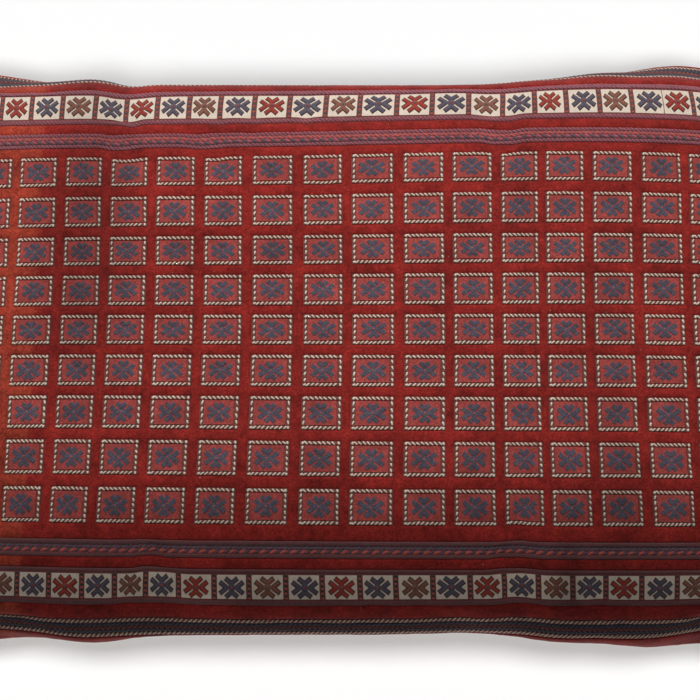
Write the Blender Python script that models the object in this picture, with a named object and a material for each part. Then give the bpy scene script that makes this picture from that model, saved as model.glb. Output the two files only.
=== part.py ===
"""Lumbar cushion with a hand-woven wool face and a plain cloth back, lying on its back.

Metres, +Z up. X runs along the cushion, -Y is the long side nearest the viewer.
The origin is on the surface it rests on, under the middle of the cushion.
"""

import math

import bmesh
import bpy
import numpy as np

# Size of each cut panel from seam to seam, laid flat
CUT_LENGTH = 0.762
CUT_WIDTH = 0.508

# Filled size: the filling draws the middle of each side in, and the corner tips less
WAIST_WIDTH = CUT_WIDTH - 0.060
WAIST_LENGTH = CUT_LENGTH - 0.040
TIP_WIDTH = CUT_WIDTH - 0.014
TIP_LENGTH = CUT_LENGTH - 0.018
WIDTH_FLARE = 2.4
LENGTH_FLARE = 2.6

# Side view: the widest line, the crown above it and the droop of the corner tips
WIDEST_Z = 0.062
CROWN = 0.054
FULLNESS_LONG = 0.28
FULLNESS_WIDE = 0.25
TIP_DROOP = 0.016
TIP_DROOP_REACH = 3.0

# The face turns under past the widest line by this angle, in the middle of each side
TURN_UNDER = 0.28
TURN_UNDER_FADE = 4.0
# Towards a corner the round side flattens into a thin ear
EAR_FLATNESS = 3.6

# Underside: it comes down to the flat patch that the cushion lies on, a part of each direction
PATCH_LONG = 0.545
PATCH_WIDE = 0.50
UNDERSIDE_ROUNDNESS = 2.2

FACE_THICKNESS = 0.0045
SEAM_THICKNESS = 0.0025
CONTACT_GAP = 0.0003

# How the filling pushes each long side out or lets it fall in
SIDE_SWELLS = [
    {"side": 1, "at": -0.290, "spread": 0.070, "out": 0.0045},
    {"side": 1, "at": -0.215, "spread": 0.030, "out": 0.0055},
    {"side": 1, "at": -0.181, "spread": 0.014, "out": -0.0035},
    {"side": 1, "at": 0.150, "spread": 0.035, "out": 0.0045},
    {"side": 1, "at": 0.205, "spread": 0.040, "out": 0.0130},
    {"side": 1, "at": 0.268, "spread": 0.045, "out": 0.0155},
    {"side": -1, "at": -0.285, "spread": 0.065, "out": -0.0040},
    {"side": -1, "at": -0.205, "spread": 0.035, "out": 0.0060},
    {"side": -1, "at": 0.088, "spread": 0.040, "out": -0.0025},
    {"side": -1, "at": 0.165, "spread": 0.030, "out": 0.0050},
    {"side": -1, "at": 0.225, "spread": 0.045, "out": 0.0090},
    {"side": -1, "at": 0.290, "spread": 0.050, "out": -0.0035},
]
SWELL_EDGE_REACH = 2.5

# Soft hollows that run in from the seam, where the thick face gathers
GATHERS = [
    {"end": "long", "side": 1, "at": -0.181, "spread": 0.015, "reach": 0.10, "depth": 0.0030},
    {"end": "long", "side": 1, "at": 0.118, "spread": 0.018, "reach": 0.07, "depth": 0.0020},
    {"end": "long", "side": -1, "at": -0.150, "spread": 0.020, "reach": 0.08, "depth": 0.0025},
    {"end": "long", "side": -1, "at": 0.128, "spread": 0.016, "reach": 0.10, "depth": 0.0030},
    {"end": "short", "side": 1, "at": -0.070, "spread": 0.020, "reach": 0.09, "depth": 0.0035},
    {"end": "short", "side": 1, "at": 0.085, "spread": 0.018, "reach": 0.08, "depth": 0.0030},
    {"end": "short", "side": -1, "at": -0.095, "spread": 0.018, "reach": 0.08, "depth": 0.0030},
    {"end": "short", "side": -1, "at": 0.060, "spread": 0.022, "reach": 0.10, "depth": 0.0035},
]

STEPS_LONG = 44
STEPS_WIDE = 28

WOOL_RED = (0.31, 0.026, 0.022, 1.0)
BACK_TAUPE = (0.40, 0.33, 0.26, 1.0)


def clear_scene():
    for old in list(bpy.data.objects):
        bpy.data.objects.remove(old, do_unlink=True)


def cloth_material(name, colour, roughness):
    material = bpy.data.materials.new(name)
    material.use_nodes = True
    shader = material.node_tree.nodes["Principled BSDF"]
    shader.inputs["Base Color"].default_value = colour
    shader.inputs["Roughness"].default_value = roughness
    shader.inputs["Metallic"].default_value = 0.0
    return material


def bell(distance, spread):
    return np.exp(-((distance / spread) ** 2))


def plan_step(part, turned, flatness):
    """Place from the middle (0) to the side (1): round on a full side, even across an ear."""
    return (1.0 - flatness) * np.sin(turned) + flatness * part


def full_arch(turned, fullness):
    """Rise of the crown over one direction: an arch with fuller shoulders than a circle's."""
    return np.cos(turned) * (1.0 + fullness * np.sin(turned) ** 2)


def half_width(along):
    return 0.5 * (WAIST_WIDTH + (TIP_WIDTH - WAIST_WIDTH) * np.abs(along) ** WIDTH_FLARE)


def half_length(across):
    return 0.5 * (WAIST_LENGTH + (TIP_LENGTH - WAIST_LENGTH) * np.abs(across) ** LENGTH_FLARE)


def widest_height(along, across):
    """Height of the widest line, which droops towards the corner tips."""
    return WIDEST_Z - TIP_DROOP * np.abs(along * across) ** TIP_DROOP_REACH


def side_swell(x, across):
    out = np.zeros_like(x)
    for swell in SIDE_SWELLS:
        on_side = np.clip(swell["side"] * across, 0.0, 1.0) ** SWELL_EDGE_REACH
        out += swell["side"] * swell["out"] * bell(x - swell["at"], swell["spread"]) * on_side
    return out


def gather_depth(x, y):
    """How deep the soft hollows are at a place in plan."""
    depth = np.zeros_like(x)
    for gather in GATHERS:
        if gather["end"] == "long":
            beside, inward = x - gather["at"], WAIST_WIDTH / 2 - gather["side"] * y
        else:
            beside, inward = y - gather["at"], WAIST_LENGTH / 2 - gather["side"] * x
        fade = np.exp(-np.clip(inward, 0.0, None) / gather["reach"])
        depth += gather["depth"] * bell(beside, gather["spread"]) * fade
    return depth


def face_surface(along, across):
    """Outside of the woven face. Both places run from -1 to 1, from seam to seam."""
    turn_wide = across * (math.pi / 2 + TURN_UNDER * (1 - np.abs(along) ** TURN_UNDER_FADE))
    turn_long = along * (math.pi / 2 + TURN_UNDER * (1 - np.abs(across) ** TURN_UNDER_FADE))
    x = half_length(across) * plan_step(along, turn_long, np.abs(across) ** EAR_FLATNESS)
    y = half_width(along) * plan_step(across, turn_wide, np.abs(along) ** EAR_FLATNESS)
    y += side_swell(x, across)
    rise = full_arch(turn_long, FULLNESS_LONG) * full_arch(turn_wide, FULLNESS_WIDE)
    z = widest_height(along, across) + CROWN * rise
    z -= gather_depth(x, y) * np.clip(rise, 0.0, 1.0) ** 0.5
    return np.stack([x, y, z], axis=-1)


def outward(points):
    """Unit normals of a grid of points, pointing away from the filling."""
    normals = np.cross(np.gradient(points, axis=0), np.gradient(points, axis=1))
    return normals / np.linalg.norm(normals, axis=-1, keepdims=True)


def spanned(rim, part_long, part_wide):
    """A sheet spanned inside a rim: each point follows the rim's four sides, by its part of the way."""
    u = (1.0 + part_long)[..., None] / 2.0
    v = (1.0 + part_wide)[..., None] / 2.0
    ends = (1 - u) * rim[:1, :] + u * rim[-1:, :]
    sides = (1 - v) * rim[:, :1] + v * rim[:, -1:]
    near = (1 - u) * rim[0, 0] + u * rim[-1, 0]
    far = (1 - u) * rim[0, -1] + u * rim[-1, -1]
    return ends + sides - ((1 - v) * near + v * far)


def share_down(part, patch):
    """How far the underside is down, from 0 at the seam to 1 at the resting patch."""
    inward = np.clip((1.0 - np.abs(part)) / (1.0 - patch), 0.0, 1.0)
    return 1.0 - (1.0 - inward) ** UNDERSIDE_ROUNDNESS


def underside(along, across, rim):
    """Outside of the plain back, from its rim at the seam down to the resting patch."""
    step_long = plan_step(along, along * math.pi / 2, np.abs(across) ** EAR_FLATNESS)
    step_wide = plan_step(across, across * math.pi / 2, np.abs(along) ** EAR_FLATNESS)
    points = spanned(rim, step_long, step_wide)
    points[..., 2] *= 1.0 - share_down(along, PATCH_LONG) * share_down(across, PATCH_WIDE)
    return points


def split_alike(work, place):
    """Cuts each square of the two grids along the same diagonal, so that facing grids stay parallel."""
    for face in list(work.faces):
        if len({place[vert][1] for vert in face.verts}) == 1:
            ranked = sorted(face.verts, key=lambda vert: place[vert][0])
            bmesh.utils.face_split(face, ranked[0], ranked[-1])


def block_between(name, upper, lower, material, collection):
    """A closed solid from a box, cut into a grid, whose top and bottom take the given points."""
    mesh = bpy.data.meshes.new(name)
    work = bmesh.new()
    bmesh.ops.create_cube(work, size=2.0)
    for axis, steps in ((0, STEPS_LONG), (1, STEPS_WIDE)):
        run = [e for e in work.edges if abs(e.verts[0].co[axis] - e.verts[1].co[axis]) > 1.0]
        bmesh.ops.subdivide_edges(work, edges=run, cuts=steps - 1, use_grid_fill=True)
    place = {}
    for vert in work.verts:
        column = round((vert.co.x + 1.0) / 2.0 * STEPS_LONG)
        row = round((vert.co.y + 1.0) / 2.0 * STEPS_WIDE)
        place[vert] = (column + row, vert.co.z > 0.0)
        surface = upper if vert.co.z > 0.0 else lower
        vert.co = surface[column, row]
    split_alike(work, place)
    bmesh.ops.recalc_face_normals(work, faces=work.faces)
    work.to_mesh(mesh)
    work.free()
    mesh.materials.append(material)
    mesh.shade_smooth()
    mesh.set_sharp_from_angle(angle=math.radians(50.0))
    solid = bpy.data.objects.new(name, mesh)
    collection.objects.link(solid)
    return solid


def main():
    clear_scene()
    collection = bpy.data.collections.new("lumbar_cushion")
    bpy.context.scene.collection.children.link(collection)

    along, across = np.meshgrid(
        np.linspace(-1.0, 1.0, STEPS_LONG + 1),
        np.linspace(-1.0, 1.0, STEPS_WIDE + 1),
        indexing="ij",
    )
    face = face_surface(along, across)
    normals = outward(face)
    face_inside = face - normals * FACE_THICKNESS
    filling_top = face - normals * (FACE_THICKNESS + CONTACT_GAP)
    back_rim = filling_top - np.array([0.0, 0.0, SEAM_THICKNESS])
    back = underside(along, across, back_rim)

    wool = cloth_material("woven_wool", WOOL_RED, 0.9)
    plain = cloth_material("plain_back_cloth", BACK_TAUPE, 0.85)
    block_between("woven_face", face, face_inside, wool, collection)
    block_between("cushion_body", filling_top, back, plain, collection)


main()
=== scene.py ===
"""Dressed model of a lumbar cushion with a hand-woven wool face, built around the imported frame.

Metres, +Z up. X runs along the cushion and -Y is its long side nearest the viewer.
The pattern is laid out flat in millimetres, s along and t across from the middle of the face,
and every piece of it is then carried onto the relaxed cloth.
"""

import math

import bpy
import numpy as np
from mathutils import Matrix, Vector

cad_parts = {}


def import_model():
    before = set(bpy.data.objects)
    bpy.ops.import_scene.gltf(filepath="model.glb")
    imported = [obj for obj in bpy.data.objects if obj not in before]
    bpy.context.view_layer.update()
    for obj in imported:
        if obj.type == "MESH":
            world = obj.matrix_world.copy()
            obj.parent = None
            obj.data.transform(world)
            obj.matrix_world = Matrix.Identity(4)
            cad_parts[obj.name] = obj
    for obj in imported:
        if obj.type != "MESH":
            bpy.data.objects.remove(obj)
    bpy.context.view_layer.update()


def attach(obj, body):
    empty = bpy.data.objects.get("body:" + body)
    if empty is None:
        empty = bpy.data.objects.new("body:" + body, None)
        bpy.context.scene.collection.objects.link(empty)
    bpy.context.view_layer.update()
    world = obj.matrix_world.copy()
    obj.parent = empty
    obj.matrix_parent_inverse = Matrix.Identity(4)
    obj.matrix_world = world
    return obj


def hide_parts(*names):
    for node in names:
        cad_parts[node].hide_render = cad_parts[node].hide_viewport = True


MM = 0.001

# The cushion's shape, as in the solids
CUT_LENGTH = 0.762
CUT_WIDTH = 0.508
WAIST_WIDTH = CUT_WIDTH - 0.060
WAIST_LENGTH = CUT_LENGTH - 0.040
TIP_WIDTH = CUT_WIDTH - 0.014
TIP_LENGTH = CUT_LENGTH - 0.018
WIDTH_FLARE = 2.4
LENGTH_FLARE = 2.6
WIDEST_Z = 0.062
CROWN = 0.054
FULLNESS_LONG = 0.28
FULLNESS_WIDE = 0.25
TIP_DROOP = 0.016
TIP_DROOP_REACH = 3.0
TURN_UNDER = 0.28
TURN_UNDER_FADE = 4.0
EAR_FLATNESS = 3.6
PATCH_LONG = 0.545
PATCH_WIDE = 0.50
UNDERSIDE_ROUNDNESS = 2.2
FACE_THICKNESS = 0.0045
SEAM_THICKNESS = 0.0025
CONTACT_GAP = 0.0003
SWELL_EDGE_REACH = 2.5
# Side, place along, spread, and how far the side swells out there
SIDE_SWELLS = [
    (1, -0.290, 0.070, 0.0045),
    (1, -0.215, 0.030, 0.0055),
    (1, -0.181, 0.014, -0.0035),
    (1, 0.150, 0.035, 0.0045),
    (1, 0.205, 0.040, 0.0130),
    (1, 0.268, 0.045, 0.0155),
    (-1, -0.285, 0.065, -0.0040),
    (-1, -0.205, 0.035, 0.0060),
    (-1, 0.088, 0.040, -0.0025),
    (-1, 0.165, 0.030, 0.0050),
    (-1, 0.225, 0.045, 0.0090),
    (-1, 0.290, 0.050, -0.0035),
]
# Kind of side, which one, place on it, spread, reach inwards and depth of a soft hollow
GATHERS = [
    ("long", 1, -0.181, 0.015, 0.10, 0.0030),
    ("long", 1, 0.118, 0.018, 0.07, 0.0020),
    ("long", -1, -0.150, 0.020, 0.08, 0.0025),
    ("long", -1, 0.128, 0.016, 0.10, 0.0030),
    ("short", 1, -0.070, 0.020, 0.09, 0.0035),
    ("short", 1, 0.085, 0.018, 0.08, 0.0030),
    ("short", -1, -0.095, 0.018, 0.08, 0.0030),
    ("short", -1, 0.060, 0.022, 0.10, 0.0035),
]

# Grid of the cloth that is relaxed and that carries the pattern
CELLS_LONG = 92
CELLS_WIDE = 62

# Field of squares, in millimetres on the cloth
COLUMN_PLACES = [-359.0, -322.0, -284.5, -247.0, -209.5, -173.0, -136.0, -98.5, -60.0, -21.0,
                 17.5, 57.0, 94.5, 131.0, 166.0, 203.5, 243.0, 281.5, 319.5, 357.0]
COLUMN_WIDTHS = [27.0, 27.0, 27.0, 27.5, 26.0, 26.0, 27.0, 26.5, 28.0, 27.0,
                 29.0, 28.0, 27.5, 25.5, 26.5, 28.0, 29.0, 28.0, 27.0, 27.0]
ROW_PLACES = [138.0, 104.0, 71.5, 39.5, 8.0, -24.0, -56.5, -91.0, -127.0]
ROW_HEIGHTS = [22.0, 22.0, 20.5, 21.5, 20.5, 21.5, 22.5, 23.5, 24.0]

# Dividers between the flower cells of both borders, along the cloth
TOP_DIVIDERS = [-388.5, -362.0, -335.5, -309.0, -282.5, -256.0, -230.0, -203.0, -177.5, -152.5,
                -127.5, -103.0, -76.5, -49.0, -20.5, 6.0, 35.0, 62.5, 91.0, 118.0, 143.5, 168.5,
                195.0, 221.5, 274.0, 302.0, 330.0, 358.0, 386.0]
BOTTOM_DIVIDERS = [-387.0, -359.0, -331.0, -303.0, -275.0, -247.0, -222.0, -196.5, -172.0, -148.5,
                   -124.0, -97.5, -72.0, -45.0, -18.5, 9.0, 35.0, 62.0, 89.0, 114.0, 139.5, 164.5,
                   189.0, 216.0, 243.5, 272.0, 300.5, 329.0, 357.5, 386.0]
# A cell wider than this has no divider in its middle and holds two flowers
WIDEST_CELL = 40.0
# A cell narrower than this, cut off by the seam, holds no flower
NARROWEST_FLOWER_CELL = 12.0
COLOUR_CYCLE = ["red", "slate", "brown", "slate"]
# Each flower border: band, dividers, place of its first flower in the colour cycle, beads up one
# divider, the beads' darker colour, and the flowers' share of the cells' height
FLOWER_BORDERS = [
    ("top_cells", TOP_DIVIDERS, 3, 9, "slate", 0.85),
    ("bottom_cells", BOTTOM_DIVIDERS, 1, 10, "dusk", 0.91),
]

# Colours of the wool, and of the plain back
RED = (0.330, 0.0205, 0.0155)
WARM_RED = (0.47, 0.058, 0.029)
FLOWER_RED = (0.40, 0.056, 0.037)
SALMON = (0.46, 0.077, 0.066)
PALE_SALMON = (0.58, 0.115, 0.092)
SLATE = (0.128, 0.109, 0.146)
DUSK = (0.050, 0.046, 0.062)
MAUVE = (0.56, 0.145, 0.170)
MAUVE_SHADE = (0.26, 0.075, 0.078)
HEATHER = (0.15, 0.090, 0.120)
IVORY = (0.80, 0.66, 0.54)
PALE_IVORY = (0.94, 0.76, 0.62)
DARK = (0.30, 0.100, 0.070)
DARK_EDGE = (0.180, 0.070, 0.053)
OUTLINE = (0.040, 0.016, 0.013)
BROWN = (0.30, 0.118, 0.076)
RUSSET = (0.30, 0.080, 0.058)
BACK_TAUPE = (0.40, 0.33, 0.26)
WRAP_COLOURS = {
    "ivory": ("ivory_wraps", PALE_IVORY),
    "dark": ("dark_wraps", DARK),
    "mauve": ("mauve_wraps", MAUVE),
    "slate": ("slate_wraps", SLATE),
    "heather": ("heather_wraps", HEATHER),
    "dusk": ("dusk_wraps", DUSK),
    "salmon": ("salmon_wraps", PALE_SALMON),
    "russet": ("russet_wraps", RUSSET),
    "red": ("red_wraps", FLOWER_RED),
    "brown": ("brown_wraps", BROWN),
}
# Flat-woven pieces: name, wool, colour and contrast of its dye
WOVEN_PIECES = [
    ("square_panels", "salmon_ground", SALMON, 0.4),
    ("border_cells", "ivory_ground", IVORY, 0.12),
    ("ring_backing", "dark_ground", DARK_EDGE, 0.2),
    ("mauve_backing", "mauve_ground", MAUVE_SHADE, 0.2),
    ("slate_backing", "dusk_ground", DUSK, 0.2),
    ("flower_outlines", "dark_outline", OUTLINE, 0.2),
    ("field_rosettes", "slate_stitches", SLATE, 0.4),
]
WRAP_CONTRAST = 0.2
# Edges of the flat-woven pieces that turn by more than this many degrees stay sharp
FLAT_CREASE = 35.0
# Where the warmer wool of one end starts, in millimetres along the cloth
WARM_EDGE = -244.0

CAMERA_DISTANCE = 1.1
CAMERA_ELEVATION = 80.0
CAMERA_TARGET = (0.0, -0.0021, 0.08)
CAMERA_LENS = 71.64


def bell(distance, spread):
    return np.exp(-((distance / spread) ** 2))


def plan_step(part, turned, flatness):
    """Place from the middle (0) to the side (1): round on a full side, even across an ear."""
    return (1.0 - flatness) * np.sin(turned) + flatness * part


def full_arch(turned, fullness):
    """Rise of the crown over one direction: an arch with fuller shoulders than a circle's."""
    return np.cos(turned) * (1.0 + fullness * np.sin(turned) ** 2)


def half_width(along):
    return 0.5 * (WAIST_WIDTH + (TIP_WIDTH - WAIST_WIDTH) * np.abs(along) ** WIDTH_FLARE)


def half_length(across):
    return 0.5 * (WAIST_LENGTH + (TIP_LENGTH - WAIST_LENGTH) * np.abs(across) ** LENGTH_FLARE)


def side_swell(x, across):
    out = np.zeros_like(x)
    for side, at, spread, swell in SIDE_SWELLS:
        on_side = np.clip(side * across, 0.0, 1.0) ** SWELL_EDGE_REACH
        out += side * swell * bell(x - at, spread) * on_side
    return out


def gather_depth(x, y):
    """How deep the soft hollows are at a place in plan."""
    depth = np.zeros_like(x)
    for kind, side, at, spread, reach, deep in GATHERS:
        if kind == "long":
            beside, inward = x - at, WAIST_WIDTH / 2 - side * y
        else:
            beside, inward = y - at, WAIST_LENGTH / 2 - side * x
        depth += deep * bell(beside, spread) * np.exp(-np.clip(inward, 0.0, None) / reach)
    return depth


def face_surface(along, across):
    """Outside of the woven face. Both places run from -1 to 1, from seam to seam."""
    turn_wide = across * (math.pi / 2 + TURN_UNDER * (1 - np.abs(along) ** TURN_UNDER_FADE))
    turn_long = along * (math.pi / 2 + TURN_UNDER * (1 - np.abs(across) ** TURN_UNDER_FADE))
    x = half_length(across) * plan_step(along, turn_long, np.abs(across) ** EAR_FLATNESS)
    y = half_width(along) * plan_step(across, turn_wide, np.abs(along) ** EAR_FLATNESS)
    y += side_swell(x, across)
    rise = full_arch(turn_long, FULLNESS_LONG) * full_arch(turn_wide, FULLNESS_WIDE)
    z = WIDEST_Z - TIP_DROOP * np.abs(along * across) ** TIP_DROOP_REACH + CROWN * rise
    z -= gather_depth(x, y) * np.clip(rise, 0.0, 1.0) ** 0.5
    return np.stack([x, y, z], axis=-1)


def outward(points):
    """Unit normals of a grid of points, pointing away from the filling."""
    normals = np.cross(np.gradient(points, axis=0), np.gradient(points, axis=1))
    return normals / np.linalg.norm(normals, axis=-1, keepdims=True)


def spanned(rim, part_long, part_wide):
    """A sheet spanned inside a rim: each point follows the rim's four sides, by its part of the way."""
    u = (1.0 + part_long)[..., None] / 2.0
    v = (1.0 + part_wide)[..., None] / 2.0
    ends = (1 - u) * rim[:1, :] + u * rim[-1:, :]
    sides = (1 - v) * rim[:, :1] + v * rim[:, -1:]
    near = (1 - u) * rim[0, 0] + u * rim[-1, 0]
    far = (1 - u) * rim[0, -1] + u * rim[-1, -1]
    return ends + sides - ((1 - v) * near + v * far)


def share_down(part, patch):
    """How far the underside is down, from 0 at the seam to 1 at the resting patch."""
    inward = np.clip((1.0 - np.abs(part)) / (1.0 - patch), 0.0, 1.0)
    return 1.0 - (1.0 - inward) ** UNDERSIDE_ROUNDNESS


def underside(along, across, rim):
    """Outside of the plain back, from its rim at the seam down to the resting patch."""
    step_long = plan_step(along, along * math.pi / 2, np.abs(across) ** EAR_FLATNESS)
    step_wide = plan_step(across, across * math.pi / 2, np.abs(along) ** EAR_FLATNESS)
    points = spanned(rim, step_long, step_wide)
    points[..., 2] *= 1.0 - share_down(along, PATCH_LONG) * share_down(across, PATCH_WIDE)
    return points


def run_length(points):
    """Length along a line of points, from its start."""
    return np.concatenate([[0.0], np.cumsum(np.linalg.norm(np.diff(points, axis=0), axis=1))])


def arc_length(points):
    """Length along a line of points, from its middle."""
    run = run_length(points)
    return run - run[-1] / 2


FINE = np.linspace(-1.0, 1.0, 2001)
ARC_LONG = arc_length(face_surface(FINE, 0.0 * FINE))
ARC_WIDE = arc_length(face_surface(0.0 * FINE, FINE))
HALF_LONG = ARC_LONG[-1]
HALF_WIDE = ARC_WIDE[-1]
# Side of the square that the flat map covers, in millimetres
MAP_SIDE = 2.04 * HALF_LONG / MM
# How close to a seam the cloth's spare length is taken up
END_GATHER = 6.0
EVENING_ROUNDS = 4


def cloth_grid():
    """Even places on the cloth, along and across, in metres from its middle."""
    return np.meshgrid(
        np.linspace(-HALF_LONG, HALF_LONG, CELLS_LONG + 1),
        np.linspace(-HALF_WIDE, HALF_WIDE, CELLS_WIDE + 1),
        indexing="ij",
    )


def evened(line, points, half):
    """Moves places along one line of the cloth so that they lie evenly on it, but for its ends."""
    run = run_length(points)
    run -= run[len(run) // 2]
    even = np.linspace(-half, half, len(line))
    spare = np.where(even < 0, run[0] + half, run[-1] - half)
    return np.interp(even + spare * np.abs(even / half) ** END_GATHER, run, line)


def start_panels():
    """Both panels of the cushion as grids, evenly spaced along the cloth."""
    s, t = cloth_grid()
    along = np.interp(s, ARC_LONG, FINE)
    across = np.interp(t, ARC_WIDE, FINE)
    for _ in range(EVENING_ROUNDS):
        for row in range(CELLS_WIDE + 1):
            points = face_surface(along[:, row], across[:, row])
            along[:, row] = evened(along[:, row], points, HALF_LONG)
        for column in range(CELLS_LONG + 1):
            points = face_surface(along[column], across[column])
            across[column] = evened(across[column], points, HALF_WIDE)
    face = face_surface(along, across)
    rim = face - outward(face) * (FACE_THICKNESS + CONTACT_GAP)
    rim[..., 2] -= SEAM_THICKNESS
    return face, underside(along, across, rim)


# Relaxing the two panels with a short cloth simulation
CLOTH_SETTINGS = {
    "quality": 6,
    "mass": 0.4,
    "tension_stiffness": 60,
    "compression_stiffness": 60,
    "shear_stiffness": 25,
    "bending_stiffness": 4,
    "tension_damping": 15,
    "compression_damping": 15,
    "shear_damping": 15,
    "bending_damping": 2,
    "air_damping": 3,
    "use_pressure": True,
    "uniform_pressure_force": 4.0,
}
CLOTH_FRAMES = 20
BLUR_ROUNDS = 14
# Longest slow move of the cover as a whole
SWELL_CAP = 0.0003
# Longest puckers of the cover in its middle and at its short ends
MIDDLE_PUCKER = 0.0008
END_PUCKER = 0.0050


def blurred(grid, rounds):
    """The slow part of a grid of values, with its border held by reflection."""
    for _ in range(rounds):
        for axis in (0, 1):
            wide = np.concatenate([grid.take([1], axis), grid, grid.take([-2], axis)], axis=axis)
            n = grid.shape[axis]
            before = wide.take(range(n), axis)
            after = wide.take(range(2, n + 2), axis)
            grid = 0.5 * grid + 0.25 * (before + after)
    return grid


def capped(move, cap):
    """Shortens long moves smoothly, so that none is longer than the cap."""
    size = np.linalg.norm(move, axis=-1, keepdims=True)
    return move * (cap * np.tanh(size / cap) / np.maximum(size, 1e-9))


def relaxed(face, back):
    """Moves of both panels in a short pressure simulation of the sewn cover."""
    columns, rows = face.shape[:2]
    top = np.arange(columns * rows).reshape(columns, rows)
    low = top.copy()
    low[1:-1, 1:-1] = top.size + np.arange((columns - 2) * (rows - 2)).reshape(columns - 2, rows - 2)
    points = np.concatenate([face.reshape(-1, 3), back[1:-1, 1:-1].reshape(-1, 3)])
    s, t = cloth_grid()
    flat = np.stack([s, t, np.zeros_like(s)], axis=-1)
    flat = np.concatenate([flat.reshape(-1, 3), flat[1:-1, 1:-1].reshape(-1, 3)])
    mesh = bpy.data.meshes.new("cover_in_work")
    mesh.from_pydata(points.tolist(), [], facing_faces(top, low).tolist())
    cover = bpy.data.objects.new("cover_in_work", mesh)
    bpy.context.scene.collection.objects.link(cover)
    cover.shape_key_add(name="Basis")
    laid_flat = cover.shape_key_add(name="Flat")
    laid_flat.data.foreach_set("co", flat.ravel())
    laid_flat.value = 0.0
    cloth = cover.modifiers.new("Cloth", "CLOTH")
    settings = cloth.settings
    for key, value in CLOTH_SETTINGS.items():
        setattr(settings, key, value)
    settings.effector_weights.gravity = 0
    settings.rest_shape_key = laid_flat
    cloth.point_cache.frame_start = 1
    cloth.point_cache.frame_end = CLOTH_FRAMES
    for step in range(1, CLOTH_FRAMES + 1):
        bpy.context.scene.frame_set(step)
    eased = cover.evaluated_get(bpy.context.evaluated_depsgraph_get())
    eased_mesh = eased.to_mesh()
    after = np.empty(len(eased_mesh.vertices) * 3)
    eased_mesh.vertices.foreach_get("co", after)
    eased.to_mesh_clear()
    after = after.reshape(-1, 3)
    bpy.data.objects.remove(cover, do_unlink=True)
    bpy.context.scene.frame_set(1)
    towards_end = np.abs(np.linspace(-1.0, 1.0, columns))[:, None, None] ** 5
    pucker = MIDDLE_PUCKER + (END_PUCKER - MIDDLE_PUCKER) * towards_end
    moves = []
    for before, index in ((face, top), (back, low)):
        move = after[index] - before
        slow = blurred(move, BLUR_ROUNDS)
        moves.append(capped(move - slow, pucker) + capped(slow, SWELL_CAP))
    return moves


def framed(grid):
    """The grid with one more line on every side, for smooth reading up to its border."""
    for axis in (0, 1):
        first = 2 * grid.take([0], axis) - grid.take([1], axis)
        last = 2 * grid.take([-1], axis) - grid.take([-2], axis)
        grid = np.concatenate([first, grid, last], axis=axis)
    return grid


def curve_weights(part):
    """Weights of the four nearest grid lines, for a smooth curve through the grid."""
    return np.stack(
        [
            -0.5 * part + part**2 - 0.5 * part**3,
            1.0 - 2.5 * part**2 + 1.5 * part**3,
            0.5 * part + 2.0 * part**2 - 1.5 * part**3,
            -0.5 * part**2 + 0.5 * part**3,
        ],
        axis=-1,
    )


def read_grid(grid, s, t):
    """Values of a framed grid at places on the cloth, in metres from its middle."""
    u = np.clip((s / HALF_LONG + 1.0) / 2.0, 0.0, 1.0) * CELLS_LONG
    v = np.clip((t / HALF_WIDE + 1.0) / 2.0, 0.0, 1.0) * CELLS_WIDE
    i = np.minimum(u.astype(int), CELLS_LONG - 1)
    j = np.minimum(v.astype(int), CELLS_WIDE - 1)
    weight_u = curve_weights(u - i)
    weight_v = curve_weights(v - j)
    out = np.zeros(s.shape + (3,))
    for a in range(4):
        for b in range(4):
            out += (weight_u[..., a] * weight_v[..., b])[..., None] * grid[i + a, j + b]
    return out


def drift(s, t):
    """How far the weave wanders from straight lines, in millimetres, dying out at the seams."""
    a = 1.25 * np.tanh(s / 312.0)
    b = t / 150.0
    fade = (1 - np.abs(s * MM / HALF_LONG) ** 8) * (1 - np.abs(t * MM / HALF_WIDE) ** 10)
    along = 0.5 + 1.2 * b - 0.9 * a * b + 5.5 * a * b**2
    along -= 2.0 * b**2 * (1.82 - b**2) * (1 - 2.2 * a**2)
    across = -0.45 + 0.3 * a + 5.0 * a * b + 1.9 * a * b**2 - 1.4 * a * b**3
    across += a**2 * (2.1 + 1.0 * b) - a**3 * (0.6 + 1.5 * b + 2.0 * b**2)
    return along * fade, across * fade


# Height of the layout's zero above the face of the solids, in millimetres
BASE_LIFT = -1.0


class OnCloth:
    """Carries places of the flat layout onto the relaxed face."""

    def __init__(self, face):
        self.points = framed(face)
        self.normals = framed(outward(face))

    def __call__(self, flat):
        """flat is s, t and the height above the cloth, all in millimetres."""
        along, across = drift(flat[..., 0], flat[..., 1])
        s = (flat[..., 0] + along) * MM
        t = (flat[..., 1] + across) * MM
        normal = read_grid(self.normals, s, t)
        normal /= np.linalg.norm(normal, axis=-1, keepdims=True)
        return read_grid(self.points, s, t) + normal * (flat[..., 2:] + BASE_LIFT) * MM


class Layout:
    """Gathers the flat points and the faces of one piece."""

    def __init__(self):
        self.points = []
        self.faces = []
        self.count = 0

    def add(self, points, faces):
        """points is a list of n alike forms, faces the faces of one of them."""
        forms, size = points.shape[:2]
        starts = self.count + np.arange(forms) * size
        for corners in faces:
            self.faces.append((starts[:, None, None] + corners[None]).reshape(-1, corners.shape[1]))
        self.points.append(points.reshape(-1, 3))
        self.count += forms * size


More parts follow.
